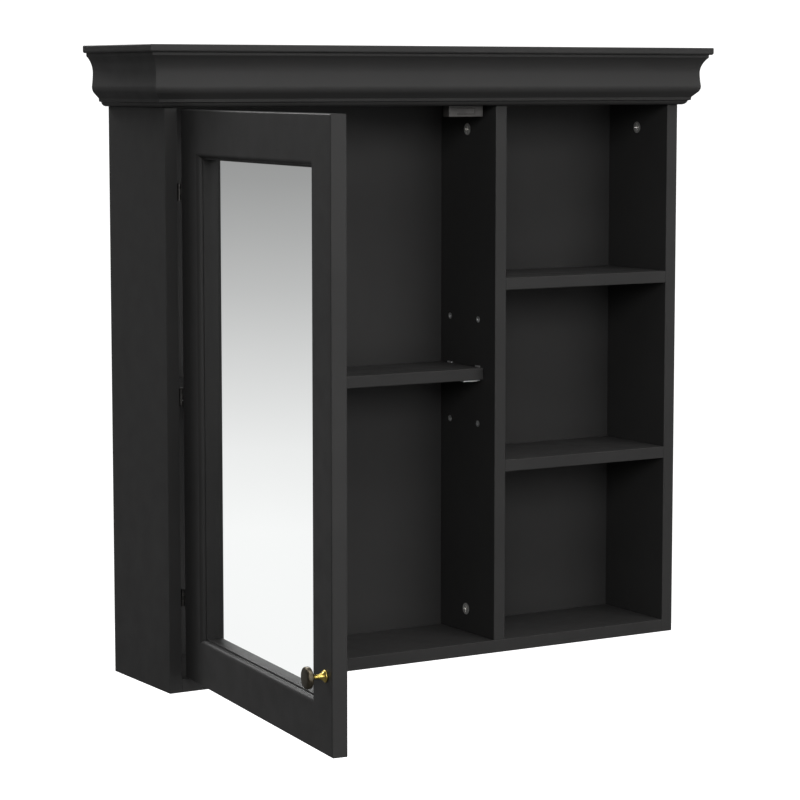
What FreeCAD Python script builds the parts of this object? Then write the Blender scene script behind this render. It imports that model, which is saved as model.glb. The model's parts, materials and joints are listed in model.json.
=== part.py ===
import FreeCAD, Part
import math
import os

from FreeCAD import Vector

# Wall-hung medicine cabinet with a mirrored door, in millimetres.
# X runs along the wall to the right, Y runs into the wall and Z is up.
# The carcass is drawn with its underside at z = 0 and its back at y = 0.
# Every piece is then lowered so that the origin lies midway between the two hanging keyholes.

# ---- carcass ----
carcass_width = 735.0
carcass_depth = 150.0
ceiling_height = 688.0       # underside of the top board
board = 16.0                 # side panels, divider, top board and bottom board
left_bay = 440.0             # clear width behind the mirrored door
shelf_thickness = 15.0
edge_ease = 0.6              # softened arris on every painted board

# ---- back panel and hanging rail ----
back_panel = 4.0
back_inset = 19.0            # from the wall to the back panel's rear face
groove_depth = 6.0
groove_slack = 0.1
rail_height = 70.0
rail_thickness = 18.0
keyhole_spacing = 500.0
keyhole_below_ceiling = 37.0
keyhole_radius = 5.0
keyhole_slot_radius = 2.25
keyhole_slot_rise = 11.0
keyhole_room = 3.0           # clearance behind the keyhole, all round
hanger_width = 58.0
hanger_height = 34.0
hanger_plate = 2.0
hanger_corner = 3.0
hanger_screw_offset = 20.0
hanger_screw = (3.6, 1.8, 1.8, 14.0)      # head radius, head height, shank radius, length

# ---- cornice ----
total_height = 760.0
cornice_overhang = 32.5
cap_thickness = 9.0
cap_underside_round = 2.6
cap_top_round = 1.2

# ---- adjustable shelf, its supports and its row of holes ----
adjustable_shelf_top = 360.0
adjustable_shelf_front = 126.0    # from the wall
shelf_end_gap = 1.5
shelf_rest_gap = 0.3
hole_pitch = 66.0
front_hole_from_wall = 110.5
rear_hole_from_wall = 45.0
support_hole_above_shelf_base = 9.0
sleeve_radius = 4.0
sleeve_length = 9.0
support_pin_radius = 2.5
support_pin_length = 8.0
support_plate = 1.1
support_flange = 2.2
support_width = 10.0
support_reach = 24.0
support_lip = 1.5                 # the upright plate's rise above the shelf

# ---- knock-down fittings ----
cam_radius = 7.35
cam_bore_radius = 7.5
cam_length = 12.0
cam_bore_depth = 12.4
cam_from_joint = 30.0
cam_from_wall = 84.0
bolt_radius = 3.0
bolt_bore_radius = 3.5
bolt_thread_radius = 2.5
bolt_thread_length = 10.0
dowel_radius = 3.0
dowel_from_wall = (42.0, 126.0)
dowel_in_edge = 20.0
dowel_in_face = 9.0

# ---- door ----
door_thickness = 18.0
door_hinge_gap = 2.5
door_free_gap = 1.5
door_gap_below = 3.0
door_gap_above = 2.5
door_open_angle = 96.5       # the pose the door is left in
frame_flat = 48.0
frame_round = 6.0
frame_ledge = 2.0
frame_outer_ease = 1.5
rebate_depth = 3.2
rebate_width = 8.0
mirror_thickness = 3.0
mirror_edge_gap = 0.6

# ---- hinges ----
hinge_centres = (95.0, 333.0, 571.5)     # above the door's bottom edge
hinge_height = 20.0
hinge_leaf = 1.2
hinge_leaf_width = 15.0
knuckle_radius = 2.0
knuckle_gap = 0.3
hinge_pin_radius = 1.0
hinge_running_gap = 0.05
hinge_screw_offset = 5.5

# ---- knob ----
knob_from_free_edge = 17.0
knob_from_door_base = 84.0
knob_disc_radius = 11.8
knob_disc_thickness = 7.7
knob_projection = 24.5

# ---- magnetic catch ----
catch_width = 50.0
catch_height = 14.0
catch_depth = 14.0
catch_from_divider = 6.0
catch_from_wall = 130.0
catch_ease = 1.0
catch_screw_inset = 5.5
magnet_half_width = 13.0
magnet_pocket_depth = 9.0
magnet_wall = 3.0            # plastic above and below the magnet's pocket
magnet_recess = 0.8          # magnet's face behind the housing's face
pole_thickness = 1.2
pole_proud = 0.5

# ---- strike plate on the door's back ----
strike_half_width = 17.0
strike_height = 11.0
strike_below_top = 1.5
strike_thickness = 0.9
strike_corner = 2.0
strike_screw_offset = 11.5

# ---- clips that hold the mirror ----
clip_plate = 1.0
clip_half_width = 6.5
clip_length = 14.0
clip_from_rebate = 6.0
clip_screw_length = 11.0
clip_hole_radius = 1.6
clip_heights = (0.2, 0.5, 0.8)    # shares of the door's height

# ---- worked out from the above ----
half_width = carcass_width / 2
inner_left = -half_width + board
divider_left = inner_left + left_bay
divider_right = divider_left + board
inner_right = half_width - board
front = -carcass_depth
back_front = -(back_inset + back_panel)
cornice_height = total_height - ceiling_height
moulding_height = cornice_height - cap_thickness
clear_height = ceiling_height - board
bay_height = (clear_height - 2 * shelf_thickness) / 3
door_width = left_bay - door_hinge_gap - door_free_gap
door_base = board + door_gap_below
door_height = ceiling_height - door_gap_above - door_base
door_left = inner_left + door_hinge_gap
frame_width = frame_flat + frame_round + frame_ledge
pin_x = inner_left + door_hinge_gap / 2
pin_y = front - knuckle_radius
keyhole_z = ceiling_height - keyhole_below_ceiling
shelf_base = adjustable_shelf_top - shelf_thickness
hole_rows = [shelf_base + support_hole_above_shelf_base + step * hole_pitch for step in (-1, 0, 1)]
hole_columns = (-front_hole_from_wall, -rear_hole_from_wall)

along_x = Vector(1, 0, 0)
along_y = Vector(0, 1, 0)
along_z = Vector(0, 0, 1)


def block(low, high):
    """A box between its lowest and highest corners."""
    size = [b - a for a, b in zip(low, high)]
    return Part.makeBox(*size, Vector(*low))


def eased_block(low, high, radius=edge_ease):
    """A board with all of its edges softened."""
    body = block(low, high)
    return body.makeFillet(radius, body.Edges)


def rod(radius, length, start, direction):
    return Part.makeCylinder(radius, length, Vector(*start), direction)


def group(solids):
    """Several separate solids that share one node."""
    return Part.makeCompound(solids)


def cut_all(body, tools):
    return body.cut(Part.makeCompound(tools)) if tools else body


def extrude_outline(edges, vector):
    face = Part.Face(Part.Wire(edges))
    return face.extrude(vector)


def polygon(points):
    """Straight edges through the points and back to the first."""
    loop = list(points) + [points[0]]
    return [Part.LineSegment(a, b).toShape() for a, b in zip(loop, loop[1:])]


def turned(profile, start, direction):
    """A solid of revolution: profile lists (distance along the axis, radius)."""
    points = [Vector(r, 0, d) for d, r in profile]
    face = Part.Face(Part.Wire(polygon(points)))
    solid = face.revolve(Vector(0, 0, 0), along_z, 360)
    solid.Placement = FreeCAD.Placement(Vector(*start), FreeCAD.Rotation(along_z, direction))
    return solid


def screw(start, direction, head_radius, head_height, shank_radius, length, slot=0.8):
    """A countersunk screw whose head lies flush at start; direction points down the shank."""
    body = turned(
        [(0, 0), (0, head_radius), (0.3, head_radius), (head_height, shank_radius),
         (length - 2 * shank_radius, shank_radius), (length, 0)],
        start, direction)
    return body.cut(cross_recess(start, direction, head_radius * 1.1, slot, head_height * 0.5))


def cross_recess(start, direction, span, width, depth):
    """The cutter for a cross-shaped driver recess, sunk into a face at start."""
    arms = [
        Part.makeBox(span, width, depth, Vector(-span / 2, -width / 2, 0)),
        Part.makeBox(width, span, depth, Vector(-width / 2, -span / 2, 0)),
    ]
    cross = arms[0].fuse(arms[1])
    cross.Placement = FreeCAD.Placement(Vector(*start), FreeCAD.Rotation(along_z, direction))
    return cross


def screw_hole(start, direction, head_radius, head_height, shank_radius, length):
    """The cutter that gives a countersunk screw its seat."""
    return turned(
        [(-1, 0), (-1, head_radius), (0.3, head_radius), (head_height, shank_radius),
         (length, shank_radius), (length, 0)],
        start, direction)


# ---------------------------------------------------------------- joints between the boards

class Fittings:
    """Collects the cams, bolts and dowels, and the bores that each board needs for them."""

    def __init__(self):
        self.cams = []
        self.bolts = []
        self.dowels = []
        self.bores = []

    def add_cam(self, joint, towards_cam, cam_face):
        """A bolt runs from the joint to a cam that is let into a face of the board.

        joint is the point on the joint plane, towards_cam the unit direction of the board's
        length and cam_face the unit direction that the cam's visible face looks in.
        """
        joint = Vector(*joint)
        centre = joint + towards_cam * cam_from_joint
        face = centre + cam_face * (board / 2)
        inwards = cam_face * -1
        shank = cam_from_joint - 2.0
        bolt = rod(bolt_radius, shank, joint, towards_cam)
        neck = rod(bolt_radius * 0.6, 5.0, joint + towards_cam * (shank - 9), towards_cam)
        ring = rod(bolt_radius + 1, 5.0, joint + towards_cam * (shank - 9), towards_cam)
        bolt = bolt.cut(ring.cut(neck))
        thread = rod(bolt_thread_radius, bolt_thread_length, joint - towards_cam * bolt_thread_length,
                     towards_cam)
        self.bolts.append(bolt.fuse(thread).removeSplitter())
        cam = Part.makeCylinder(cam_radius, cam_length, face, inwards)
        passage = rod(bolt_bore_radius, cam_from_joint, joint, towards_cam)
        cam = cam.cut(passage)
        cam = cam.cut(cross_recess(face, inwards, cam_radius * 1.25, 1.9, 2.2))
        self.cams.append(cam)
        self.bores += [
            Part.makeCylinder(cam_bore_radius, cam_bore_depth, face, inwards),
            passage,
            rod(bolt_thread_radius, bolt_thread_length, joint - towards_cam * bolt_thread_length,
                towards_cam),
        ]

    def add_dowel(self, joint, into_edge, in_edge=dowel_in_edge):
        """A dowel that crosses the joint plane, deep in the board's edge, shallow in the face."""
        start = Vector(*joint) - into_edge * dowel_in_face
        length = in_edge + dowel_in_face
        self.dowels.append(Part.makeCylinder(dowel_radius, length, start, into_edge))
        self.bores.append(Part.makeCylinder(dowel_radius, length, start, into_edge))


def fit_boards():
    """All knock-down fittings of the carcass, joint by joint."""
    fit = Fittings()
    down = along_z * -1
    left_x = -half_width + board / 2
    right_x = half_width - board / 2
    divider_x = divider_left + board / 2
    top_joints = ((left_x, along_x), (divider_x, along_x * -1), (right_x, along_x * -1))
    for x, cam_face in top_joints:
        fit.add_cam((x, -cam_from_wall, ceiling_height), down, cam_face)
        for depth in dowel_from_wall:
            fit.add_dowel((x, -depth, ceiling_height), down)
    fit.add_cam((divider_x, -cam_from_wall, board), along_z, along_x * -1)
    for depth in dowel_from_wall:
        fit.add_dowel((divider_x, -depth, board), along_z)
    for joint_x, inwards in ((inner_left, along_x), (inner_right, along_x * -1)):
        fit.add_cam((joint_x, -cam_from_wall, board / 2), inwards, down)
        for depth in dowel_from_wall:
            fit.add_dowel((joint_x, -depth, board / 2), inwards)
        for height in (-0.25, 0.25):
            z = ceiling_height - rail_height / 2 + height * rail_height
            fit.add_dowel((joint_x, -rail_thickness / 2, z), inwards)
    for base in fixed_shelf_bases():
        middle = base + shelf_thickness / 2
        for joint_x, inwards in ((divider_right, along_x), (inner_right, along_x * -1)):
            for depth in dowel_from_wall:
                fit.add_dowel((joint_x, -depth, middle), inwards)
    return fit


def fixed_shelf_bases():
    """Undersides of the two fixed shelves, which share the right bay into equal thirds."""
    step = bay_height + shelf_thickness
    return [board + bay_height, board + bay_height + step]


# ---------------------------------------------------------------- carcass

def back_groove():
    """The groove that holds the back panel on all four sides."""
    return block(
        (inner_left - groove_depth, back_front - groove_slack, board - groove_depth),
        (inner_right + groove_depth, -back_inset + groove_slack, ceiling_height + groove_depth))


def sleeve_holes(face_x, inwards):
    return [rod(sleeve_radius, sleeve_length, (face_x, y, z), inwards)
            for y in hole_columns for z in hole_rows]


def make_carcass(save, bores, hinge_cuts, catch_cuts, cornice_cuts):
    groove = back_groove()
    cutters = bores + [groove]
    left = eased_block((-half_width, front, 0), (inner_left, 0, ceiling_height))
    save("left_side_panel", cut_all(left, cutters + sleeve_holes(inner_left, along_x * -1) + hinge_cuts))
    right = eased_block((inner_right, front, 0), (half_width, 0, ceiling_height))
    save("right_side_panel", cut_all(right, cutters))
    divider = eased_block((divider_left, front, board), (divider_right, back_front, ceiling_height))
    save("divider", cut_all(divider, bores + sleeve_holes(divider_left, along_x)))
    top = eased_block((-half_width, front, ceiling_height), (half_width, 0, ceiling_height + board))
    save("top_board", cut_all(top, cutters + catch_cuts + cornice_cuts))
    bottom = eased_block((inner_left, front, 0), (inner_right, 0, board))
    save("bottom_board", cut_all(bottom, cutters))
    panel_edge = groove_depth - 1.0
    save("back_panel", block(
        (inner_left - panel_edge, back_front, board - panel_edge),
        (inner_right + panel_edge, -back_inset, ceiling_height + panel_edge)))
    for name, base in zip(("lower_fixed_shelf", "upper_fixed_shelf"), fixed_shelf_bases()):
        shelf = eased_block((divider_right, front, base), (inner_right, back_front, base + shelf_thickness))
        save(name, cut_all(shelf, bores))


def make_adjustable_shelf(save):
    shelf = eased_block(
        (inner_left + shelf_end_gap, -adjustable_shelf_front, shelf_base),
        (divider_left - shelf_end_gap, back_front - 1.0, adjustable_shelf_top), 1.0)
    save("adjustable_shelf", shelf)


def make_sleeves_and_supports(save):
    sleeves, supports = [], []
    for face_x, inwards in ((inner_left, along_x * -1), (divider_left, along_x)):
        for y in hole_columns:
            for z in hole_rows:
                ring = rod(sleeve_radius, sleeve_length, (face_x, y, z), inwards)
                sleeves.append(ring.cut(rod(support_pin_radius, sleeve_length, (face_x, y, z), inwards)))
            supports.append(shelf_support(face_x, y, hole_rows[1], inwards))
    save("pin_sleeves", group(sleeves))
    save("shelf_supports", group(supports))


def shelf_support(face_x, y, z, inwards):
    """An angle support: a pin, an upright plate against the panel and a flange below the shelf."""
    outwards = -inwards.x
    flange_top = shelf_base - shelf_rest_gap
    flange_base = flange_top - support_flange
    plate_top = adjustable_shelf_top + support_lip
    half = support_width / 2
    near, far = sorted((face_x, face_x + outwards * support_plate))
    plate = block((near, y - half, flange_base), (far, y + half, plate_top))
    near, far = sorted((face_x, face_x + outwards * support_reach))
    flange = block((near, y - half, flange_base), (far, y + half, flange_top))
    pin = rod(support_pin_radius, support_pin_length, (face_x, y, z), inwards)
    return plate.fuse([flange, pin]).removeSplitter()


def make_fittings(save, fit):
    save("cam_locks", group(fit.cams))
    save("cam_bolts", group(fit.bolts))
    save("dowels", group(fit.dowels))


# ---------------------------------------------------------------- hanging rail

def make_hanging_rail(save, bores):
    rail = eased_block(
        (inner_left, -rail_thickness, ceiling_height - rail_height), (inner_right, 0, ceiling_height))
    plates, screws, pockets = [], [], []
    for x in (-keyhole_spacing / 2, keyhole_spacing / 2):
        seat = block(
            (x - hanger_width / 2, -hanger_plate, keyhole_z - hanger_height / 2),
            (x + hanger_width / 2, 1.0, keyhole_z + hanger_height / 2 + keyhole_slot_rise / 2))
        room = keyhole_radius + keyhole_room
        pocket = block(
            (x - room, -rail_thickness - 1, keyhole_z - room),
            (x + room, 0, keyhole_z + keyhole_slot_rise + room - 1))
        seat = seat.makeFillet(hanger_corner, [e for e in seat.Edges if upright_to_wall(e)])
        span = block((x - hanger_width, -rail_thickness, 0), (x + hanger_width, 0, total_height))
        plate = seat.common(span)
        plate = plate.cut(keyhole(x))
        pockets += [seat, pocket]
        for side in (-1, 1):
            spot = (x + side * hanger_screw_offset, 0, keyhole_z + keyhole_slot_rise / 4)
            hole = screw_hole(spot, along_y * -1, *hanger_screw)
            plate = plate.cut(hole)
            pockets.append(hole)
            screws.append(screw(spot, along_y * -1, *hanger_screw))
        plates.append(plate)
    save("hanging_rail", cut_all(rail, bores + pockets))
    save("hanger_plates", group(plates))
    save("hanger_screws", group(screws))


def upright_to_wall(edge):
    """True for an edge that runs straight out from the wall."""
    direction = edge.tangentAt(edge.FirstParameter)
    return abs(direction.y) > 0.99


def keyhole(x):
    """A round hole for the screw's head with a slot above it for the shank."""
    depth = hanger_plate + 2
    head = rod(keyhole_radius, depth, (x, -depth + 1, keyhole_z), along_y)
    top = rod(keyhole_slot_radius, depth, (x, -depth + 1, keyhole_z + keyhole_slot_rise), along_y)
    slot = block(
        (x - keyhole_slot_radius, -depth + 1, keyhole_z),
        (x + keyhole_slot_radius, 1, keyhole_z + keyhole_slot_rise))
    return head.fuse([slot, top])


# ---------------------------------------------------------------- cornice

def moulding_outline(place):
    """The cornice's section; place(p, h) maps overhang and height to a point."""
    def arc(start, middle, end):
        return Part.Arc(place(*start), place(*middle), place(*end)).toShape()

    def line(start, end):
        return Part.LineSegment(place(*start), place(*end)).toShape()

    lip = 3.5
    ovolo_end = (9.4, 5.2)
    step = (12.2, 5.8)
    step_top = (12.6, 9.6)
    splay_top = (19.0, 16.2)
    belly = (20.9, 23.0)
    face_start = (20.2, 34.0)
    face_top = (20.2, 46.0)
    cove_middle = (21.9, 53.2)
    cove_top = (28.2, 59.6)
    fillet_top = (28.2, moulding_height)
    return [
        line((0, 0), (lip, 0)),
        arc((lip, 0), (7.6, 1.8), ovolo_end),
        line(ovolo_end, step),
        line(step, step_top),
        line(step_top, splay_top),
        arc(splay_top, belly, face_start),
        line(face_start, face_top),
        arc(face_top, cove_middle, cove_top),
        line(cove_top, fillet_top),
        line(fillet_top, (0, moulding_height)),
        line((0, moulding_height), (0, 0)),
    ]


def mitre_prism(points):
    """A tall prism over a plan outline, which trims a moulding to its mitres."""
    corners = [Vector(x, y, ceiling_height - 1) for x, y in points]
    return extrude_outline(polygon(corners), along_z * (cornice_height + 2))


def make_cornice(save, cornice_cuts):
    reach = 2 * cornice_overhang
    far = half_width + reach
    front_run = extrude_outline(
        moulding_outline(lambda p, h: Vector(-far, front - p, ceiling_height + h)), along_x * (2 * far))
    front_plan = ((-half_width, front), (half_width, front), (far, front - reach), (-far, front - reach))
    save("cornice_front_moulding", front_run.common(mitre_prism(front_plan)))
    for side, name in ((-1, "cornice_left_moulding"), (1, "cornice_right_moulding")):
        run = extrude_outline(
            moulding_outline(lambda p, h: Vector(side * (half_width + p), 0, ceiling_height + h)),
            along_y * (front - reach))
        near = side * half_width
        plan = ((near, 0), (side * far, 0), (side * far, front - reach), (near, front))
        save(name, run.common(mitre_prism(plan)))
    make_cornice_frame(save, cornice_cuts)
    cap = block(
        (-half_width - cornice_overhang, front - cornice_overhang, total_height - cap_thickness),
        (half_width + cornice_overhang, 0, total_height))
    low = [e for e in cap.Edges if exposed_level_edge(e, total_height - cap_thickness)]
    cap = cap.makeFillet(cap_underside_round, low)
    high = [e for e in cap.Edges if exposed_level_edge(e, total_height)]
    save("cornice_cap", cap.makeFillet(cap_top_round, high))


def exposed_level_edge(edge, height):
    """True for the front and side edges of the cap at the given height, but not the wall edge."""
    box = edge.BoundBox
    level = abs(box.ZMin - height) < 0.01 and abs(box.ZMax - height) < 0.01
    return level and box.YMin < -1


def make_cornice_frame(save, cornice_cuts):
    """The box of rails on the top board that carries the mouldings and the cap."""
    low = ceiling_height + board
    high = total_height - cap_thickness
    rails = {
        "cornice_front_rail": ((-half_width, front, low), (half_width, front + board, high)),
        "cornice_rear_rail": ((inner_left, -board, low), (inner_right, 0, high)),
        "cornice_left_rail": ((-half_width, front + board, low), (inner_left, 0, high)),
        "cornice_right_rail": ((inner_right, front + board, low), (half_width, 0, high)),
    }
    for name, (start, end) in rails.items():
        save(name, cut_all(block(start, end), cornice_cuts))


def cornice_screw_spots():
    rows = (front + board / 2, -board / 2)
    return [(x, y, ceiling_height) for y in rows for x in (-250.0, 0.0, 250.0)]


# ---------------------------------------------------------------- door

def close_to_open(shape):
    """Swings a piece from the closed door to the pose the door is left in."""
    shape.rotate(Vector(pin_x, pin_y, 0), along_z, -door_open_angle)
    return shape


def on_door(shape):
    """Carries a piece from the door's own axes into place.

    On the door, x runs from the hinge edge, y is the depth behind the front face and z is
    the height above the bottom edge.
    """
    shape.translate(Vector(door_left, front, door_base))
    return close_to_open(shape)


def frame_section():
    """Section of a door member: y is depth, z the distance in from the outer edge."""
    ease = frame_outer_ease
    corner = ease * (1 - math.sqrt(0.5))
    shoulder = frame_flat + frame_round * math.sqrt(0.5)
    drop = frame_round * (1 - math.sqrt(0.5))
    seat = door_thickness - rebate_depth
    wall = frame_width

    def point(depth, distance):
        return Vector(0, depth, distance)

    def line(start, end):
        return Part.LineSegment(point(*start), point(*end)).toShape()

    def arc(start, middle, end):
        return Part.Arc(point(*start), point(*middle), point(*end)).toShape()

    back = door_thickness
    return [
        arc((ease, 0), (corner, corner), (0, ease)),
        line((0, ease), (0, frame_flat)),
        arc((0, frame_flat), (drop, shoulder), (frame_round, frame_flat + frame_round)),
        line((frame_round, frame_flat + frame_round), (frame_round, wall)),
        line((frame_round, wall), (seat, wall)),
        line((seat, wall), (seat, wall - rebate_width)),
        line((seat, wall - rebate_width), (back, wall - rebate_width)),
        line((back, wall - rebate_width), (back, ease)),
        arc((back, ease), (back - corner, corner), (back - ease, 0)),
        line((back - ease, 0), (ease, 0)),
    ]


def frame_member(length):
    """A mitred member that runs along X, with its outer edge at z = 0."""
    bar = extrude_outline(frame_section(), along_x * length)
    plan = [Vector(0, -1, 0), Vector(length, -1, 0), Vector(length - frame_width, -1, frame_width),
            Vector(frame_width, -1, frame_width)]
    prism = extrude_outline(polygon(plan), along_y * (door_thickness + 2))
    return bar.common(prism)


def make_door_frame(save, cutters):
    lower = frame_member(door_width)
    upper = frame_member(door_width)
    upper.rotate(Vector(door_width / 2, 0, door_height / 2), along_y, 180)
    hinge_side = frame_member(door_height)
    hinge_side.rotate(Vector(0, 0, 0), along_y, 90)
    hinge_side.translate(Vector(0, 0, door_height))
    free_side = frame_member(door_height)
    free_side.rotate(Vector(0, 0, 0), along_y, -90)
    free_side.translate(Vector(door_width, 0, 0))
    members = {
        "door_bottom_rail": lower,
        "door_top_rail": upper,
        "door_hinge_stile": hinge_side,
        "door_free_stile": free_side,
    }
    for name, member in members.items():
        save(name, on_door(cut_all(member, cutters)))


def make_mirror(save):
    inset = frame_width - rebate_width + mirror_edge_gap
    seat = door_thickness - rebate_depth
    glass = block((inset, seat, inset), (door_width - inset, seat + mirror_thickness, door_height - inset))
    save("door_mirror", on_door(glass))


def clip_spots():
    """Where the mirror clips sit on the frame's back, with the direction of the glass."""
    reach = frame_width - rebate_width - clip_from_rebate
    spots = []
    for share in clip_heights:
        z = share * door_height
        spots.append((reach, z, along_x))
        spots.append((door_width - reach, z, along_x * -1))
    for z, inwards in ((reach, along_z), (door_height - reach, along_z * -1)):
        spots.append((door_width / 2, z, inwards))
    return spots


def mirror_clip(x, z, inwards):
    """A flat steel clip with a round end at its screw and a straight end over the glass."""
    start = Vector(x, door_thickness, z)
    aside = Vector(inwards.z, 0, inwards.x) * clip_half_width
    tip = inwards * clip_length
    corners = [start - aside, start + aside, start + aside + tip, start - aside + tip]
    tongue = extrude_outline(polygon(corners), along_y * clip_plate)
    pad = Part.makeCylinder(clip_half_width, clip_plate, start, along_y)
    return tongue.fuse(pad).removeSplitter()


def pan_screw(spot, length):
    """A domed screw driven into the door's back; spot is under its head."""
    body = turned(
        [(-length, 0), (-length + 3, clip_hole_radius), (0, clip_hole_radius), (0, 3.2), (0.9, 3.0),
         (1.6, 2.0), (1.9, 0)],
        (0, 0, 0), along_z)
    body = body.cut(cross_recess((0, 0, 2.2), along_z * -1, 3.2, 0.8, 1.4))
    body.Placement = FreeCAD.Placement(Vector(*spot), FreeCAD.Rotation(along_z, along_y))
    return body


def make_mirror_clips(save):
    clips, screws, holes = [], [], []
    for x, z, inwards in clip_spots():
        spot = (x, door_thickness + clip_plate, z)
        hole = rod(clip_hole_radius, clip_screw_length, spot, along_y * -1)
        clips.append(on_door(mirror_clip(x, z, inwards).cut(hole)))
        screws.append(on_door(pan_screw(spot, clip_screw_length)))
        holes.append(hole)
    save("mirror_clips", group(clips))
    save("mirror_clip_screws", group(screws))
    return holes


# ---------------------------------------------------------------- knob

def knob_spot():
    return door_width - knob_from_free_edge, knob_from_door_base


def make_knob(save):
    """A flared brass stem with a round dark disc at its end, held by a screw from behind."""
    x, z = knob_spot()
    start = (x, 0, z)
    outwards = along_y * -1
    bore = 1.9
    bore_depth = 12.0
    neck = knob_projection - knob_disc_thickness
    stem = turned(
        [(0, bore), (0, 6.6), (0.9, 6.8), (1.8, 6.4), (2.6, 5.1), (4.2, 4.0), (6.2, 3.1), (8.6, 2.6),
         (11.4, 2.5), (13.6, 2.8), (15.2, 3.7), (neck - 0.6, 4.8), (neck, 4.8), (neck, 0),
         (bore_depth, 0), (bore_depth, bore)],
        start, outwards)
    save("knob_stem", on_door(stem))
    rim = knob_disc_radius
    disc = turned(
        [(neck, 0), (neck, rim - 3.0), (neck + 0.4, rim - 1.6), (neck + 1.1, rim - 0.5),
         (neck + 2.2, rim), (neck + 5.2, rim), (neck + 6.3, rim - 0.6), (neck + 7.0, rim - 1.8),
         (neck + 7.4, rim - 3.8), (knob_projection, 0)],
        start, outwards)
    save("knob_disc", on_door(disc))
    length = door_thickness + bore_depth - 2.0
    body = turned(
        [(-2.2, 0), (-2.0, 2.6), (-1.2, 3.8), (0, 4.0), (0, bore), (length - 1, bore), (length, 0)],
        (0, 0, 0), along_z)
    body = body.cut(cross_recess((0, 0, -2.3), along_z, 4.4, 1.0, 1.5))
    body.Placement = FreeCAD.Placement(Vector(x, door_thickness, z), FreeCAD.Rotation(along_z, outwards))
    save("knob_screw", on_door(body))
    return [rod(bore + 0.2, door_thickness + 2, (x, -1, z), along_y)]


# ---------------------------------------------------------------- hinges

def hinge_knuckle(low, high, hole_radius):
    """One barrel of a hinge between two heights, bored for its pin."""
    barrel = rod(knuckle_radius, high - low, (pin_x, pin_y, low), along_z)
    return barrel.cut(rod(hole_radius, high - low, (pin_x, pin_y, low), along_z))


def hinge_levels(centre):
    """Heights that share a hinge into its lower, middle and upper barrels."""
    low = door_base + centre - hinge_height / 2
    third = hinge_height / 3
    return low, low + third, low + 2 * third, low + hinge_height


def leaf_screw_spots(centre, face_x, offset_y):
    z = door_base + centre
    return [(face_x, front + offset_y, z - hinge_screw_offset),
            (face_x, front + offset_y, z + hinge_screw_offset)]


def make_hinges(save):
    """Three butt hinges, drawn with the door closed; the door leaves swing open with the door."""
    head, sink, shank, length = 2.4, 1.1, 1.2, 11.0
    seat = (head, sink, shank, length)
    frame_leaves, door_leaves, pins, frame_screws, door_screws = [], [], [], [], []
    frame_cuts, door_cuts = [], []
    bore = hinge_pin_radius
    near = pin_y + knuckle_radius + knuckle_gap
    screw_depth = hinge_leaf_width * 0.55
    for centre in hinge_centres:
        z0, z1, z2, z3 = hinge_levels(centre)
        plate = block((inner_left, near, z0), (inner_left + hinge_leaf, front + hinge_leaf_width, z3))
        for a, b in ((z0, z1), (z2, z3)):
            web = block((inner_left, pin_y, a), (inner_left + hinge_leaf, near, b))
            barrel = hinge_knuckle(a, b, bore)
            web = web.cut(rod(bore, b - a, (pin_x, pin_y, a), along_z))
            plate = plate.fuse([web, barrel])
        spots = leaf_screw_spots(centre, inner_left + hinge_leaf, screw_depth)
        for spot in spots:
            plate = plate.cut(screw_hole(spot, along_x * -1, *seat))
            frame_cuts.append(screw_hole(spot, along_x * -1, *seat))
            frame_screws.append(screw(spot, along_x * -1, *seat, slot=0.6))
        frame_leaves.append(plate.removeSplitter())

        a, b = z1 + knuckle_gap, z2 - knuckle_gap
        inner_edge = front + hinge_leaf_width
        mortise = block((door_left - 1, front - 1, z0), (door_left + hinge_leaf, inner_edge, z3))
        plate = block((door_left, front, z0), (door_left + hinge_leaf, inner_edge, z3))
        web = block((door_left, pin_y, a), (door_left + hinge_leaf, front, b))
        barrel = hinge_knuckle(a, b, bore + hinge_running_gap)
        plate = plate.fuse([web, barrel])
        door_cuts.append(mortise)
        spots = leaf_screw_spots(centre, door_left, screw_depth)
        for spot in spots:
            plate = plate.cut(screw_hole(spot, along_x, *seat))
            door_cuts.append(screw_hole(spot, along_x, *seat))
            door_screws.append(close_to_open(screw(spot, along_x, *seat, slot=0.6)))
        door_leaves.append(close_to_open(plate.removeSplitter()))
        pins.append(rod(bore, hinge_height, (pin_x, pin_y, z0), along_z))
    save("hinge_frame_leaves", group(frame_leaves))
    save("hinge_door_leaves", group(door_leaves))
    save("hinge_pins", group(pins))
    save("hinge_frame_screws", group(frame_screws))
    save("hinge_door_screws", group(door_screws))
    for cutter in door_cuts:
        cutter.translate(Vector(-door_left, -front, -door_base))
    return frame_cuts, door_cuts


# ---------------------------------------------------------------- catch

def make_catch(save):
    """A magnetic catch under the top board, beside the divider."""
    right = divider_left - catch_from_divider
    left = right - catch_width
    near = -catch_from_wall
    far = near + catch_depth
    top = ceiling_height
    base = top - catch_height
    middle = (left + right) / 2
    west, east = middle - magnet_half_width, middle + magnet_half_width
    pocket_end = near + magnet_pocket_depth
    pocket_base, pocket_top = base + magnet_wall, top - magnet_wall
    housing = eased_block((left, near, base), (right, far, top), catch_ease)
    housing = housing.cut(block((west, near - 1, pocket_base), (east, pocket_end, pocket_top)))
    ears = [(x, (near + far) / 2, base) for x in (left + catch_screw_inset, right - catch_screw_inset)]
    seat = (3.0, 1.6, 1.5, 24.0)
    holes = [screw_hole(ear, along_z, *seat) for ear in ears]
    save("catch_housing", cut_all(housing, holes))
    save("catch_screws", group([screw(ear, along_z, *seat) for ear in ears]))
    magnet_base, magnet_top = pocket_base + pole_thickness, pocket_top - pole_thickness
    save("catch_magnet", block((west, near + magnet_recess, magnet_base), (east, pocket_end, magnet_top)))
    plates = [
        block((west, near - pole_proud, pocket_base), (east, pocket_end, magnet_base)),
        block((west, near - pole_proud, magnet_top), (east, pocket_end, pocket_top)),
    ]
    save("catch_poles", group(plates))
    return middle, holes


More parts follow.
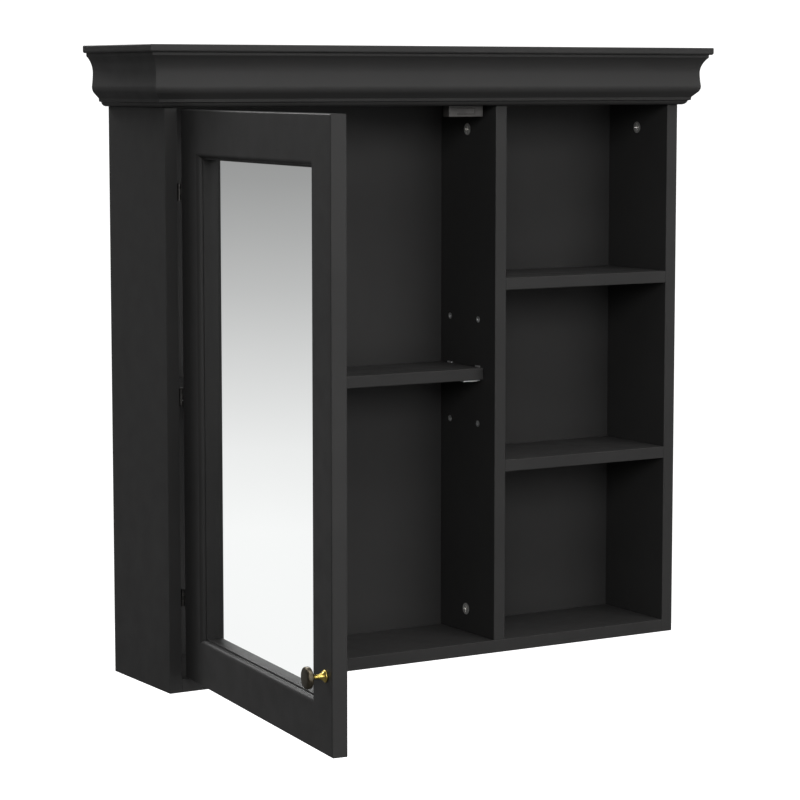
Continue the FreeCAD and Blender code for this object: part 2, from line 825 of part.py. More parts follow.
def make_strike(save, middle):
    """The steel plate on the door's back that the catch pulls on."""
    x = middle - door_left
    top = door_height - strike_below_top
    base = top - strike_height
    face = door_thickness + strike_thickness
    plate = block((x - strike_half_width, door_thickness, base), (x + strike_half_width, face, top))
    plate = plate.makeFillet(strike_corner, [e for e in plate.Edges if upright_to_wall(e)])
    spots = [(x + side * strike_screw_offset, face, (base + top) / 2) for side in (-1, 1)]
    seat = (2.4, 0.8, 1.2, 10.0)
    holes = [screw_hole(spot, along_y * -1, *seat) for spot in spots]
    screws = [on_door(screw(spot, along_y * -1, *seat, slot=0.6)) for spot in spots]
    save("strike_plate", on_door(cut_all(plate, holes)))
    save("strike_screws", group(screws))
    return holes


# ---------------------------------------------------------------- the whole cabinet

def save(name, shape):
    """Lowers a finished piece so that the keyholes' midpoint is the origin, and writes it."""
    placed = shape.copy()
    placed.translate(Vector(0, 0, -keyhole_z))
    if not placed.isValid():
        raise ValueError(name + " is not a valid shape")
    placed.exportStep(os.path.join("parts", name + ".step"))
    print(name, len(placed.Solids), "solid(s)", round(placed.Volume / 1000, 2), "cm3")


def main():
    os.makedirs("parts", exist_ok=True)
    fit = fit_boards()
    make_fittings(save, fit)
    hinge_cuts, door_cuts = make_hinges(save)
    catch_middle, catch_cuts = make_catch(save)
    spots = cornice_screw_spots()
    seat = (4.0, 2.6, 2.0, 45.0)
    cornice_cuts = [screw_hole(spot, along_z, *seat) for spot in spots]
    save("cornice_screws", group([screw(spot, along_z, *seat, slot=1.0) for spot in spots]))
    make_carcass(save, fit.bores, hinge_cuts, catch_cuts, cornice_cuts)
    make_hanging_rail(save, fit.bores)
    make_cornice(save, cornice_cuts)
    make_adjustable_shelf(save)
    make_sleeves_and_supports(save)
    door_cuts += make_mirror_clips(save)
    door_cuts += make_knob(save)
    door_cuts += make_strike(save, catch_middle)
    make_door_frame(save, door_cuts)
    make_mirror(save)


main()
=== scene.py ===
import json
import math

import bpy
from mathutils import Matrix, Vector


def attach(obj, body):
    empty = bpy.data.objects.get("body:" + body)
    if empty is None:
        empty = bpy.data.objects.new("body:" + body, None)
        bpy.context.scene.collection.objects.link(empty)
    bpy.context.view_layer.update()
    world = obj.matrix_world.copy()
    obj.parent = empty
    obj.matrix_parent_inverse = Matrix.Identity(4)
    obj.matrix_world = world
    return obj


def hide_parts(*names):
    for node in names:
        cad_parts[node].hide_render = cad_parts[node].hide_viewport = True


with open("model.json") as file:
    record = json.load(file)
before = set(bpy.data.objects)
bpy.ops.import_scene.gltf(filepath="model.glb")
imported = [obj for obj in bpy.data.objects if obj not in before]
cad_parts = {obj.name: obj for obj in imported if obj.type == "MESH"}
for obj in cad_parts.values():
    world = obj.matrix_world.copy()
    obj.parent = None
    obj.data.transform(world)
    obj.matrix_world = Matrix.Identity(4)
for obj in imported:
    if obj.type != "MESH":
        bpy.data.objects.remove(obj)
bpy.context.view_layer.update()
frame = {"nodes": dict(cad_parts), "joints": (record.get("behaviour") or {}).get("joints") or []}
nodes = frame["nodes"]
doorHinge = next(joint for joint in frame["joints"] if joint["name"] == "door_hinge")
hingePin = Vector(doorHinge["pos_m"])

cabinet = {
    "width": 0.735,
    "depth": 0.150,
    "underTop": 0.037,       # underside of the top board
    "doorOpen": 96.5,        # degrees
}


# ---- working in edit mode

modelling = {
    "seamReach": 0.000002,       # vertices closer than this are one
    "matchReach": 0.00004,       # how near an edge must be to the place it is looked for
    "smoothAngle": 32,           # degrees
}


def deselectAll():
    for item in bpy.context.selected_objects:
        item.select_set(False)


def makeActive(piece):
    deselectAll()
    piece.select_set(True)
    bpy.context.view_layer.objects.active = piece


def editAll(kind="VERT"):
    bpy.ops.object.mode_set(mode="EDIT")
    bpy.ops.mesh.select_mode(type=kind)
    bpy.ops.mesh.select_all(action="SELECT")


def leaveEdit():
    bpy.ops.object.mode_set(mode="OBJECT")


def pickEdges(piece, test):
    # enters edit mode with only the edges selected whose two ends pass the test
    mesh = piece.data
    for items in (mesh.vertices, mesh.edges, mesh.polygons):
        items.foreach_set("select", [False] * len(items))
    for edge in mesh.edges:
        first, last = [mesh.vertices[index].co for index in edge.vertices]
        edge.select = test(first, last)
    bpy.ops.object.mode_set(mode="EDIT")
    bpy.ops.mesh.select_mode(type="EDGE")


def near(a, b):
    return abs(a - b) < modelling["matchReach"]


def turn(degrees, axis, centre):
    # with no window the operator turns the other way
    bpy.ops.transform.rotate(value=-math.radians(degrees), orient_axis=axis, center_override=centre)


def closeSeams(piece):
    makeActive(piece)
    editAll()
    bpy.ops.mesh.remove_doubles(threshold=modelling["seamReach"])
    bpy.ops.mesh.normals_make_consistent(inside=False)
    leaveEdit()


def copyOf(piece, name):
    twin = piece.copy()
    twin.data = piece.data.copy()
    twin.name = name
    bpy.context.scene.collection.objects.link(twin)
    return twin


def smoothRoundings(piece):
    makeActive(piece)
    bpy.ops.object.shade_smooth_by_angle(angle=math.radians(modelling["smoothAngle"]))
    # weighted normals keep a flat face flat beside its roundings
    bpy.ops.object.modifier_add(type="WEIGHTED_NORMAL")
    weighted = piece.modifiers[-1]
    weighted.keep_sharp = True
    bpy.ops.object.modifier_apply(modifier=weighted.name)


def place(piece, body, slotName, *cadNodes):
    # the finished piece rides on its body and stands for its CAD nodes
    piece.data.name = piece.name
    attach(piece, body)
    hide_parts(*cadNodes)


def arcThrough(start, via, end, count):
    # points on the circle through three points, after start and up to end
    (ax, ay), (bx, by), (cx, cy) = start, via, end
    d = 2 * (ax * (by - cy) + bx * (cy - ay) + cx * (ay - by))
    aa, bb, cc = ax * ax + ay * ay, bx * bx + by * by, cx * cx + cy * cy
    middleX = (aa * (by - cy) + bb * (cy - ay) + cc * (ay - by)) / d
    middleY = (aa * (cx - bx) + bb * (ax - cx) + cc * (bx - ax)) / d
    radius = math.hypot(ax - middleX, ay - middleY)
    angles = [math.atan2(y - middleY, x - middleX) for x, y in (start, via, end)]
    for index in (1, 2):
        while angles[index] - angles[index - 1] > math.pi:
            angles[index] -= 2 * math.pi
        while angles[index] - angles[index - 1] < -math.pi:
            angles[index] += 2 * math.pi
    steps = [angles[0] + (angles[2] - angles[0]) * step / count for step in range(1, count + 1)]
    return [(middleX + radius * math.cos(a), middleY + radius * math.sin(a)) for a in steps]


def drawRun(name, fromX, toX, outline):
    # a strip is extruded edge by edge round the outline of (y, z) points; the first two are level
    (firstY, firstZ), (nextY, nextZ) = outline[:2]
    deselectAll()
    middle = ((fromX + toX) / 2, (firstY + nextY) / 2, firstZ)
    bpy.ops.mesh.primitive_plane_add(size=1, location=middle)
    piece = bpy.context.object
    piece.name = name
    bpy.ops.transform.resize(value=(toX - fromX, abs(nextY - firstY), 1))
    bpy.ops.object.transform_apply(location=True, rotation=True, scale=True)
    pickEdges(piece, lambda a, b: near(a.y, nextY) and near(b.y, nextY))
    lastY, lastZ = nextY, nextZ
    for y, z in outline[2:] + outline[:1]:
        bpy.ops.mesh.extrude_region_move(TRANSFORM_OT_translate={"value": (0, y - lastY, z - lastZ)})
        lastY, lastZ = y, z
    leaveEdit()
    closeSeams(piece)
    return piece


def trim(piece, spot, normal):
    # cuts the piece with a plane, drops the side the normal points to and closes the cut
    makeActive(piece)
    editAll()
    bpy.ops.mesh.bisect(plane_co=spot, plane_no=normal, use_fill=True, clear_outer=True)
    leaveEdit()


def bevelEdges(piece, test, width, segments):
    makeActive(piece)
    pickEdges(piece, test)
    bpy.ops.mesh.bevel(
        offset=width, offset_type="OFFSET", segments=segments, affect="EDGES", profile=0.5)
    leaveEdit()


def lathe(name, centre, outline, segments):
    # rings of (distance along -Y, radius) are extruded one after another from a circle
    along, radius = outline[0]
    deselectAll()
    spot = (centre[0], centre[1] - along, centre[2])
    upright = (math.pi / 2, 0, 0)
    bpy.ops.mesh.primitive_circle_add(
        vertices=segments, radius=radius, fill_type="NGON", location=spot, rotation=upright)
    piece = bpy.context.object
    piece.name = name
    bpy.ops.object.transform_apply(location=True, rotation=True, scale=True)
    editAll()
    for nextAlong, nextRadius in outline[1:]:
        bpy.ops.mesh.extrude_region_move(TRANSFORM_OT_translate={"value": (0, along - nextAlong, 0)})
        share = nextRadius / radius
        middle = (centre[0], centre[1] - nextAlong, centre[2])
        bpy.ops.transform.resize(value=(share, 1, share), center_override=middle)
        along, radius = nextAlong, nextRadius
    leaveEdit()
    closeSeams(piece)
    return piece


# ---- materials

def startMaterial(name):
    material = bpy.data.materials.new(name)
    material.use_nodes = True
    tree = material.node_tree
    shader = next(node for node in tree.nodes if node.type == "BSDF_PRINCIPLED")
    coords = tree.nodes.new("ShaderNodeTexCoord")
    return material, tree, shader, coords.outputs["Object"]


def noise(tree, coords, scale, detail, stretch=None):
    texture = tree.nodes.new("ShaderNodeTexNoise")
    texture.inputs["Scale"].default_value = scale
    texture.inputs["Detail"].default_value = detail
    if stretch:
        mapping = tree.nodes.new("ShaderNodeMapping")
        mapping.inputs["Scale"].default_value = stretch
        tree.links.new(coords, mapping.inputs["Vector"])
        coords = mapping.outputs["Vector"]
    tree.links.new(coords, texture.inputs["Vector"])
    return texture.outputs["Fac"]


def spread(tree, value, low, high, fromLow=0.3, fromHigh=0.7):
    # noise keeps mostly between 0.3 and 0.7
    mapRange = tree.nodes.new("ShaderNodeMapRange")
    mapRange.inputs["From Min"].default_value = fromLow
    mapRange.inputs["From Max"].default_value = fromHigh
    mapRange.inputs["To Min"].default_value = low
    mapRange.inputs["To Max"].default_value = high
    tree.links.new(value, mapRange.inputs["Value"])
    return mapRange.outputs["Result"]


def blendColours(tree, value, dark, light):
    ramp = tree.nodes.new("ShaderNodeValToRGB")
    ramp.color_ramp.elements[0].position = 0.3
    ramp.color_ramp.elements[0].color = (*dark, 1)
    ramp.color_ramp.elements[1].position = 0.7
    ramp.color_ramp.elements[1].color = (*light, 1)
    tree.links.new(value, ramp.inputs["Fac"])
    return ramp.outputs["Color"]


def addBump(tree, shader, height, distance):
    bump = tree.nodes.new("ShaderNodeBump")
    bump.inputs["Distance"].default_value = distance
    bump.inputs["Strength"].default_value = 1.0
    tree.links.new(height, bump.inputs["Height"])
    tree.links.new(bump.outputs["Normal"], shader.inputs["Normal"])


blackPaint = {
    "dark": (0.0185, 0.0182, 0.0180),
    "light": (0.0215, 0.0211, 0.0208),
    "gloss": 0.13,               # specular level of the lacquer
    "roughness": (0.42, 0.50),
    "cloudScale": 7.0,
    "patchScale": 38.0,
    "peelScale": 420.0,
    "orangePeel": 0.00005,       # metres
}

backPaint = {
    **blackPaint,
    "gloss": 0.12,
    "roughness": (0.50, 0.60),
    "orangePeel": 0.00007,
}


def makeBlackPaint(name, look):
    material, tree, shader, coords = startMaterial(name)
    cloud = noise(tree, coords, look["cloudScale"], 4.0)
    tree.links.new(blendColours(tree, cloud, look["dark"], look["light"]), shader.inputs["Base Color"])
    patch = noise(tree, coords, look["patchScale"], 3.0)
    tree.links.new(spread(tree, patch, *look["roughness"]), shader.inputs["Roughness"])
    peel = noise(tree, coords, look["peelScale"], 2.0)
    addBump(tree, shader, peel, look["orangePeel"])
    shader.inputs["Specular IOR Level"].default_value = look["gloss"]
    return material


bareRail = {
    "dark": (0.42, 0.29, 0.17),
    "light": (0.60, 0.45, 0.29),
    "grainScale": 60.0,
    "grainStretch": (0.06, 1.0, 1.0),
    "roughness": (0.62, 0.50),
    "grainDepth": 0.0001,
    "gloss": 0.3,
}

beechDowel = {
    **bareRail,
    "dark": (0.55, 0.36, 0.20),
    "light": (0.72, 0.52, 0.33),
}


def makeBareWood(name, look):
    material, tree, shader, coords = startMaterial(name)
    grain = noise(tree, coords, look["grainScale"], 6.0, look["grainStretch"])
    tree.links.new(blendColours(tree, grain, look["dark"], look["light"]), shader.inputs["Base Color"])
    tree.links.new(spread(tree, grain, *look["roughness"]), shader.inputs["Roughness"])
    addBump(tree, shader, grain, look["grainDepth"])
    shader.inputs["Specular IOR Level"].default_value = look["gloss"]
    return material


hingeSteel = {
    "dark": (0.030, 0.029, 0.028),
    "light": (0.060, 0.057, 0.055),
    "roughness": (0.30, 0.48),
    "gritScale": 260.0,
    "gritDepth": 0.00002,
}

brightZinc = {
    "dark": (0.74, 0.75, 0.76),
    "light": (0.90, 0.90, 0.89),
    "roughness": (0.40, 0.55),
    "gritScale": 320.0,
    "gritDepth": 0.00002,
}

castZinc = {
    "dark": (0.72, 0.71, 0.69),
    "light": (0.90, 0.89, 0.86),
    "roughness": (0.46, 0.62),
    "gritScale": 520.0,
    "gritDepth": 0.00004,
}

polishedBrass = {
    "dark": (0.42, 0.31, 0.07),
    "light": (0.58, 0.44, 0.12),
    "roughness": (0.20, 0.34),
    "gritScale": 240.0,
    "gritDepth": 0.00001,
}

darkBronze = {
    "dark": (0.052, 0.044, 0.032),
    "light": (0.100, 0.084, 0.060),
    "roughness": (0.40, 0.55),
    "gritScale": 300.0,
    "gritDepth": 0.00002,
}


def makeMetal(name, look):
    material, tree, shader, coords = startMaterial(name)
    grit = noise(tree, coords, look["gritScale"], 4.0)
    tree.links.new(blendColours(tree, grit, look["dark"], look["light"]), shader.inputs["Base Color"])
    tree.links.new(spread(tree, grit, *look["roughness"]), shader.inputs["Roughness"])
    addBump(tree, shader, grit, look["gritDepth"])
    shader.inputs["Metallic"].default_value = 1.0
    return material


catchPlastic = {
    "dark": (0.036, 0.034, 0.032),
    "light": (0.050, 0.047, 0.045),
    "roughness": (0.38, 0.52),
    "cloudScale": 90.0,
    "grainScale": 1800.0,
    "grainDepth": 0.00003,
    "gloss": 0.4,
}

ferrite = {
    **catchPlastic,
    "dark": (0.045, 0.043, 0.042),
    "light": (0.085, 0.082, 0.080),
    "roughness": (0.55, 0.75),
}


def makePlastic(name, look):
    material, tree, shader, coords = startMaterial(name)
    cloud = noise(tree, coords, look["cloudScale"], 3.0)
    tree.links.new(blendColours(tree, cloud, look["dark"], look["light"]), shader.inputs["Base Color"])
    grain = noise(tree, coords, look["grainScale"], 2.0)
    tree.links.new(spread(tree, grain, *look["roughness"]), shader.inputs["Roughness"])
    addBump(tree, shader, grain, look["grainDepth"])
    shader.inputs["Specular IOR Level"].default_value = look["gloss"]
    return material


mirrorGlass = {
    "silver": (0.93, 0.945, 0.94),
    "silverShade": 0.985,        # the darker part of the silver, as a share of it
    "smudge": 0.018,
    "edge": (0.10, 0.26, 0.20),
    "edgeShade": 0.6,
    "edgeRoughness": (0.12, 0.35),
    "backPaint": (0.16, 0.17, 0.18),
    "backShade": 0.82,
    "backRoughness": (0.55, 0.7),
    "backGrain": 0.00004,
}


def shaded(colour, share):
    return tuple(part * share for part in colour)


def makeSilver(name, look):
    material, tree, shader, coords = startMaterial(name)
    cloud = noise(tree, coords, 3.0, 2.0)
    paler = shaded(look["silver"], look["silverShade"])
    tree.links.new(blendColours(tree, cloud, paler, look["silver"]), shader.inputs["Base Color"])
    smear = noise(tree, coords, 22.0, 5.0)
    tree.links.new(spread(tree, smear, 0.0, look["smudge"]), shader.inputs["Roughness"])
    shader.inputs["Metallic"].default_value = 1.0
    return material


def makeGlassEdge(name, look):
    material, tree, shader, coords = startMaterial(name)
    streak = noise(tree, coords, 160.0, 3.0)
    deep = shaded(look["edge"], look["edgeShade"])
    tree.links.new(blendColours(tree, streak, deep, look["edge"]), shader.inputs["Base Color"])
    tree.links.new(spread(tree, streak, *look["edgeRoughness"]), shader.inputs["Roughness"])
    return material


def makeBackingPaint(name, look):
    material, tree, shader, coords = startMaterial(name)
    cloud = noise(tree, coords, 14.0, 5.0)
    deep = shaded(look["backPaint"], look["backShade"])
    tree.links.new(blendColours(tree, cloud, deep, look["backPaint"]), shader.inputs["Base Color"])
    tree.links.new(spread(tree, cloud, *look["backRoughness"]), shader.inputs["Roughness"])
    addBump(tree, shader, noise(tree, coords, 500.0, 2.0), look["backGrain"])
    return material


# each finish goes by the name of its slot on the boards and fittings
finishes = {
    "satin_black_paint": makeBlackPaint("satinBlackPaint", blackPaint),
    "back_board": makeBlackPaint("backBoardPaint", backPaint),
    "raw_rail": makeBareWood("bareRailWood", bareRail),
    "mirror": makeSilver("mirrorSilver", mirrorGlass),
    "black_hinge_steel": makeMetal("blackHingeSteel", hingeSteel),
    "zinc": makeMetal("brightZinc", brightZinc),
    "cam_zinc": makeMetal("castCamZinc", castZinc),
    "brass": makeMetal("polishedBrass", polishedBrass),
    "bronze": makeMetal("darkBronze", darkBronze),
    "catch_plastic": makePlastic("catchPlastic", catchPlastic),
    "magnet": makePlastic("ferriteMagnet", ferrite),
    "beech": makeBareWood("beechDowel", beechDowel),
}
glassEdge = makeGlassEdge("mirrorGlassEdge", mirrorGlass)
backingPaint = makeBackingPaint("mirrorBackingPaint", mirrorGlass)

for node in nodes.values():
    for slot in node.material_slots:
        slot.material = finishes[slot.material.name.split(".")[0]]
print("finishes are on the boards and fittings")


# ---- cornice mouldings

# (out from the carcass, up from the top board's underside); an arc has a middle point and an end
corniceShape = {
    "lip": 0.0035,
    "ovolo": ((0.0076, 0.0018), (0.0094, 0.0052)),
    "step": ((0.0122, 0.0058), (0.0126, 0.0096)),
    "splay": (0.0190, 0.0162),
    "belly": ((0.02095, 0.0202), (0.0212, 0.0247)),
    "waist": ((0.02036, 0.03235), (0.0200, 0.0400)),
    "cove": ((0.02252, 0.0515), (0.0282, 0.0596)),
    "height": 0.0630,
    "softened": 0.00045,
    "spare": 0.06,           # length past the corner that the mitre cuts off
}


def corniceOutline(shape):
    points = [(0, 0), (shape["lip"], 0)]
    points += arcThrough(points[-1], *shape["ovolo"], 6)
    points += list(shape["step"])
    points += [shape["splay"]]
    points += arcThrough(points[-1], *shape["belly"], 10)
    points += arcThrough(points[-1], *shape["waist"], 8)
    points += arcThrough(points[-1], *shape["cove"], 16)
    points += [(shape["cove"][1][0], shape["height"]), (0, shape["height"])]
    return points


def softenArrises(piece, shape, faceY):
    # the sharp arrises along the run are rounded as paint leaves them
    sharp = [shape["step"][0], shape["step"][1], shape["splay"], shape["cove"][1]]
    base = cabinet["underTop"]

    def onArris(a, b):
        if not near(a.y, b.y) or not near(a.z, b.z):
            return False
        return any(near(a.y, faceY - out) and near(a.z, base + up) for out, up in sharp)

    bevelEdges(piece, onArris, shape["softened"], 3)


def drawCornice(name, fromX, toX, faceY):
    outline = [(faceY - out, cabinet["underTop"] + up) for out, up in corniceOutline(corniceShape)]
    piece = drawRun(name, fromX, toX, outline)
    softenArrises(piece, corniceShape, faceY)
    return piece


def makeCornice():
    half = cabinet["width"] / 2
    face = -cabinet["depth"]
    reach = corniceShape["spare"]
    front = drawCornice("corniceFront", -half - reach, half + reach, face)
    trim(front, (-half, face, 0), (-1, 1, 0))
    trim(front, (half, face, 0), (1, 1, 0))
    left = drawCornice("corniceLeft", 0, cabinet["depth"] + reach, -half)
    makeActive(left)
    editAll()
    turn(-90, "Z", (0, 0, 0))
    leaveEdit()
    trim(left, (-half, face, 0), (1, -1, 0))
    right = copyOf(left, "corniceRight")
    makeActive(right)
    editAll()
    bpy.ops.transform.resize(value=(-1, 1, 1), center_override=(0, 0, 0))
    leaveEdit()
    for piece, side in ((front, "front"), (left, "left"), (right, "right")):
        closeSeams(piece)
        smoothRoundings(piece)
        piece.data.materials.append(finishes["satin_black_paint"])
        place(piece, "cabinet", "satin_black_paint", f"cornice_{side}_moulding")
    print("cornice mouldings are mitred")


makeCornice()


# ---- door

door = {
    "width": 0.43594,
    "height": 0.6665,
    "thickness": 0.018,
    "left": -0.349,
    "base": -0.632,
    "flat": 0.048,           # flat face of a member
    "round": 0.006,          # rounding towards the mirror
    "ledge": 0.002,
    "rebateDepth": 0.0032,
    "rebateWidth": 0.008,
    "outerEase": 0.0015,
    "ledgeEase": 0.0005,
    "mirrorThickness": 0.003,
    "mirrorGap": 0.0006,
    "mirrorEase": 0.0004,
}


def hang(piece):
    # carries a piece from the door's own axes to the pose the door is left in
    makeActive(piece)
    editAll()
    bpy.ops.transform.translate(value=(door["left"], -cabinet["depth"], door["base"]))
    turn(-cabinet["doorOpen"], "Z", (hingePin.x, hingePin.y, 0))
    leaveEdit()


def drawMember(name, length):
    # a member along X with its outer edge down and its face towards -Y
    width = door["flat"] + door["round"] + door["ledge"]
    seat = door["thickness"] - door["rebateDepth"]
    corner = door["flat"] + door["round"]
    back = door["thickness"]
    rebate = width - door["rebateWidth"]
    outline = [(back, 0), (0, 0), (0, corner), (door["round"], corner), (door["round"], width),
               (seat, width), (seat, rebate), (back, rebate)]
    piece = drawRun(name, 0, length, outline)

    def along(y, z):
        return lambda a, b: near(a.y, y) and near(b.y, y) and near(a.z, z) and near(b.z, z)

    bevelEdges(piece, along(0, corner), door["round"], 10)
    bevelEdges(piece, along(0, 0), door["outerEase"], 5)
    bevelEdges(piece, along(back, 0), door["outerEase"], 5)
    bevelEdges(piece, along(door["round"], width), door["ledgeEase"], 3)
    trim(piece, (0, 0, 0), (-1, 0, 1))
    trim(piece, (length, 0, 0), (1, 0, 1))
    closeSeams(piece)
    return piece


def makeDoorFrame():
    width, height = door["width"], door["height"]
    lower = drawMember("doorBottomRail", width)
    upper = copyOf(lower, "doorTopRail")
    hingeSide = drawMember("doorHingeStile", height)
    freeSide = copyOf(hingeSide, "doorFreeStile")
    # each member is turned about the door's lower left corner, then moved into its place
    members = (
        (lower, 0, (0, 0, 0), "door_bottom_rail"),
        (upper, 180, (width, 0, height), "door_top_rail"),
        (hingeSide, 90, (0, 0, height), "door_hinge_stile"),
        (freeSide, -90, (width, 0, 0), "door_free_stile"),
    )
    for piece, angle, shift, node in members:
        makeActive(piece)
        editAll()
        turn(angle, "Y", (0, 0, 0))
        bpy.ops.transform.translate(value=shift)
        leaveEdit()
        hang(piece)
        smoothRoundings(piece)
        piece.data.materials.append(finishes["satin_black_paint"])
        place(piece, "door", "satin_black_paint", node)
    print("door frame is mitred and hung")


makeDoorFrame()


def makeMirror():
    inset = door["flat"] + door["round"] + door["ledge"] - door["rebateWidth"] + door["mirrorGap"]
    seat = door["thickness"] - door["rebateDepth"]
    thick = door["mirrorThickness"]
    size = (door["width"] - 2 * inset, thick, door["height"] - 2 * inset)
    deselectAll()
    middle = (door["width"] / 2, seat + thick / 2, door["height"] / 2)
    bpy.ops.mesh.primitive_cube_add(size=1, location=middle)
    pane = bpy.context.object
    pane.name = "doorMirror"
    bpy.ops.transform.resize(value=size)
    bpy.ops.object.transform_apply(location=True, rotation=True, scale=True)
    editAll("EDGE")
    bpy.ops.mesh.bevel(offset=door["mirrorEase"], segments=2, affect="EDGES")
    leaveEdit()
    for finish in (finishes["mirror"], glassEdge, backingPaint):
        pane.data.materials.append(finish)
    for face in pane.data.polygons:
        # silver in front, paint behind and bare glass round the edge
        face.material_index = 1
        if face.normal.y < -0.99:
            face.material_index = 0
        if face.normal.y > 0.99:
            face.material_index = 2
    hang(pane)
    place(pane, "door", "mirror", "door_mirror")
    print("mirror is in its rebate")


makeMirror()


# ---- knob

# the turned outlines are (out from the door, radius) in millimetres
knob = {
    "fromFreeEdge": 0.017,
    "aboveBase": 0.084,
    "sides": 72,
    "stem": ((0, 6.2), (0.3, 6.65), (0.9, 6.8), (1.4, 6.7), (1.9, 6.25), (2.6, 5.1), (3.3, 4.5),
             (4.2, 3.95), (5.2, 3.5), (6.2, 3.1), (7.4, 2.8), (8.6, 2.6), (10.0, 2.5), (11.4, 2.48),
             (12.6, 2.58), (13.6, 2.8), (14.5, 3.2), (15.2, 3.7), (15.8, 4.4), (16.2, 4.75), (16.8, 4.8)),
    "disc": ((16.8, 8.0), (16.85, 8.8), (17.0, 9.6), (17.25, 10.3), (17.6, 10.9), (18.0, 11.35),
             (18.5, 11.62), (19.1, 11.74), (20.5, 11.77), (21.9, 11.74), (22.5, 11.6), (23.0, 11.25),
             (23.4, 10.7), (23.7, 10.0), (23.95, 9.0), (24.15, 7.8), (24.3, 6.0), (24.4, 3.0),
             (24.45, 0.4)),
}


def makeKnob():
    centre = (door["width"] - knob["fromFreeEdge"], 0, knob["aboveBase"])
    for part, name, finish in (("stem", "knobStem", "brass"), ("disc", "knobDisc", "bronze")):
        outline = [(along / 1000, radius / 1000) for along, radius in knob[part]]
        piece = lathe(name, centre, outline, knob["sides"])
        piece.data.materials.append(finishes[finish])
        hang(piece)
        smoothRoundings(piece)
        place(piece, "door", finish, f"knob_{part}")
    print("knob is turned")


makeKnob()


# ---- floor, light and camera

studio = {
    "floorLevel": -2.0,
    "floorRadius": 7.0,
    "floorGlow": 0.95,
    "floorDark": (0.86, 0.86, 0.86),
    "floorLight": (0.90, 0.90, 0.90),
    "background": 1.15,
    "sky": 0.17,
    "aim": (0, -0.1, -0.25),     # where the softboxes point
}

# a tall graded card behind the cabinet, which the open mirror faces
reflector = {
    "bearing": -15.5,        # degrees from straight behind
    "full": 2.6,             # degrees to each side at full strength
    "faded": 7.0,
    "foot": -0.3,            # upward part of the direction at the card's foot and top
    "top": 0.1,
    # (share of the card's height, brightness), from its foot up
    "greys": ((0.08, 0.20), (0.18, 0.991), (0.3465, 0.991), (0.418, 0.893), (0.5075, 0.679),
              (0.561, 0.547), (0.615, 0.438), (0.66, 0.357), (0.75, 0.25), (0.90, 0.20)),
}


def makeFloor():
    deselectAll()
    middle = (0, 0, studio["floorLevel"])
    bpy.ops.mesh.primitive_circle_add(
        vertices=96, radius=studio["floorRadius"], fill_type="NGON", location=middle)
    floor = bpy.context.object
    floor.name = "studioFloor"
    bpy.ops.object.transform_apply(location=True, rotation=True, scale=True)
    material, tree, shader, coords = startMaterial("paleFloor")
    cloud = noise(tree, coords, 0.6, 3.0)
    colour = blendColours(tree, cloud, studio["floorDark"], studio["floorLight"])
    tree.links.new(colour, shader.inputs["Base Color"])
    shader.inputs["Roughness"].default_value = 0.9
    shader.inputs["Specular IOR Level"].default_value = 0.1
    shader.inputs["Emission Color"].default_value = (1, 1, 1, 1)
    shader.inputs["Emission Strength"].default_value = studio["floorGlow"]
    floor.data.materials.append(material)
    floor.visible_diffuse = False      # the floor shows pale and throws no light up
    floor.visible_glossy = False


def compute(tree, operation, first, second):
    # a link or a number may stand for either value
    node = tree.nodes.new("ShaderNodeMath")
    node.operation = operation
    for socket, value in zip(node.inputs, (first, second)):
        if isinstance(value, (int, float)):
            socket.default_value = value
        else:
            tree.links.new(value, socket)
    return node.outputs[0]


def drawGreys(tree, height):
    ramp = tree.nodes.new("ShaderNodeValToRGB")
    elements = ramp.color_ramp.elements
    steps = reflector["greys"]
    while len(elements) < len(steps):
        elements.new(0.5)
    # positions first, because they can change the elements' order
    for element, (position, grey) in zip(elements, steps):
        element.position = position
    for element, (position, grey) in zip(elements, steps):
        element.color = (grey, grey, grey, 1)
    tree.links.new(height, ramp.inputs["Fac"])
    return ramp.outputs["Color"]


def drawSurround(tree):
    # an even grey sky with the graded card standing in it
    coords = tree.nodes.new("ShaderNodeTexCoord")
    split = tree.nodes.new("ShaderNodeSeparateXYZ")
    tree.links.new(coords.outputs["Generated"], split.inputs["Vector"])
    height = spread(tree, split.outputs["Z"], 0, 1, reflector["foot"], reflector["top"])
    card = drawGreys(tree, height)
    bearing = compute(tree, "ARCTAN2", split.outputs["X"], split.outputs["Y"])
    fromMiddle = compute(tree, "SUBTRACT", bearing, math.radians(reflector["bearing"]))
    apart = compute(tree, "ABSOLUTE", fromMiddle, 0)
    full, faded = math.radians(reflector["full"]), math.radians(reflector["faded"])
    onCard = spread(tree, apart, 1, 0, full, faded)
    onCard.node.interpolation_type = "SMOOTHSTEP"
    blend = tree.nodes.new("ShaderNodeMix")
    blend.data_type = "RGBA"
    skySocket, cardSocket = [socket for socket in blend.inputs if socket.type == "RGBA"]
    sky = studio["sky"]
    skySocket.default_value = (sky, sky, sky, 1)
    tree.links.new(onCard, blend.inputs["Factor"])
    tree.links.new(card, cardSocket)
    return next(socket for socket in blend.outputs if socket.type == "RGBA")


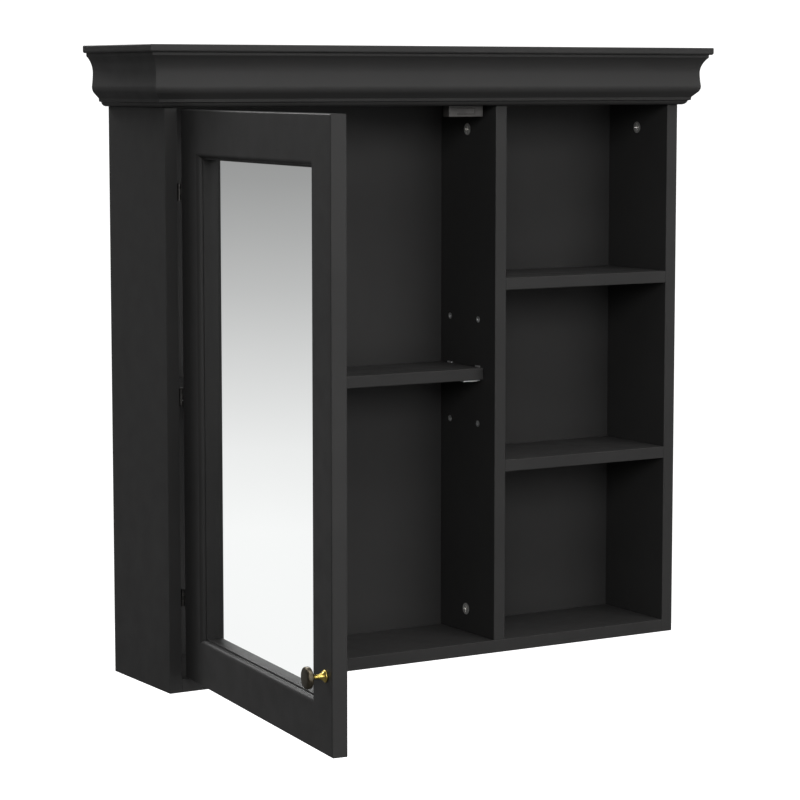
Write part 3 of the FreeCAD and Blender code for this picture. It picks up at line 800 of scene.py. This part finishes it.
def makeWorld():
    world = bpy.data.worlds.new("studioWorld")
    bpy.context.scene.world = world
    world.use_nodes = True
    tree = world.node_tree
    tree.nodes.clear()
    surround = tree.nodes.new("ShaderNodeBackground")
    tree.links.new(drawSurround(tree), surround.inputs["Color"])
    backdrop = tree.nodes.new("ShaderNodeBackground")
    backdrop.inputs["Color"].default_value = (1, 1, 1, 1)
    backdrop.inputs["Strength"].default_value = studio["background"]
    path = tree.nodes.new("ShaderNodeLightPath")
    mix = tree.nodes.new("ShaderNodeMixShader")
    tree.links.new(path.outputs["Is Camera Ray"], mix.inputs["Fac"])
    tree.links.new(surround.outputs["Background"], mix.inputs[1])
    tree.links.new(backdrop.outputs["Background"], mix.inputs[2])
    output = tree.nodes.new("ShaderNodeOutputWorld")
    tree.links.new(mix.outputs["Shader"], output.inputs["Surface"])


softboxes = {
    "keySoftbox": {"spot": (1.4, -4.2, 1.1), "size": (2.4, 1.8), "power": 58},
    "cameraSideSoftbox": {"spot": (-2.0, -4.1, 1.3), "size": (2.2, 1.6), "power": 112},
    "leftSoftbox": {"spot": (-3.4, -2.8, 0.5), "size": (1.6, 1.6), "power": 18},
    "lowSoftbox": {"spot": (0.4, -4.2, -0.7), "size": (2.0, 1.2), "power": 26},
    "highSoftbox": {"spot": (0.5, -2.2, 3.0), "size": (2.4, 1.2), "power": 80},
    "overheadSoftbox": {"spot": (0.0, -0.4, 3.6), "size": (3.0, 3.0), "power": 90},
    "rearSoftbox": {"spot": (-0.7, 3.6, 1.5), "size": (1.2, 1.2), "power": 34},
    "rightSoftbox": {"spot": (3.8, -0.9, 0.8), "size": (1.8, 1.8), "power": 60},
    "rearHighSoftbox": {"spot": (-1.6, 3.2, 3.0), "size": (1.6, 1.6), "power": 165},
}


def addSoftboxes():
    aim = Vector(studio["aim"])
    for name, box in softboxes.items():
        light = bpy.data.lights.new(name, "AREA")
        light.shape = "RECTANGLE"
        light.size, light.size_y = box["size"]
        light.energy = box["power"]
        lamp = bpy.data.objects.new(name, light)
        lamp.location = box["spot"]
        lamp.rotation_euler = (aim - Vector(box["spot"])).to_track_quat("-Z", "Y").to_euler()
        bpy.context.scene.collection.objects.link(lamp)


cameraSetup = {
    "spot": (-1.7985, -3.0303, 0.0691),
    "pitch": -0.11524,           # radians from level
    "yaw": -0.54551,
    "lens": 124.65,
    "sensor": 36,
    "farthest": 200,
}


def addCamera():
    data = bpy.data.cameras.new("productCamera")
    data.lens = cameraSetup["lens"]
    data.sensor_width = cameraSetup["sensor"]
    data.clip_end = cameraSetup["farthest"]
    camera = bpy.data.objects.new("productCamera", data)
    camera.location = cameraSetup["spot"]
    camera.rotation_euler = (math.pi / 2 + cameraSetup["pitch"], 0, cameraSetup["yaw"])
    bpy.context.scene.collection.objects.link(camera)
    bpy.context.scene.camera = camera


makeFloor()
makeWorld()
addSoftboxes()
addCamera()
bpy.context.scene.view_settings.view_transform = "Standard"
print("studio is lit")
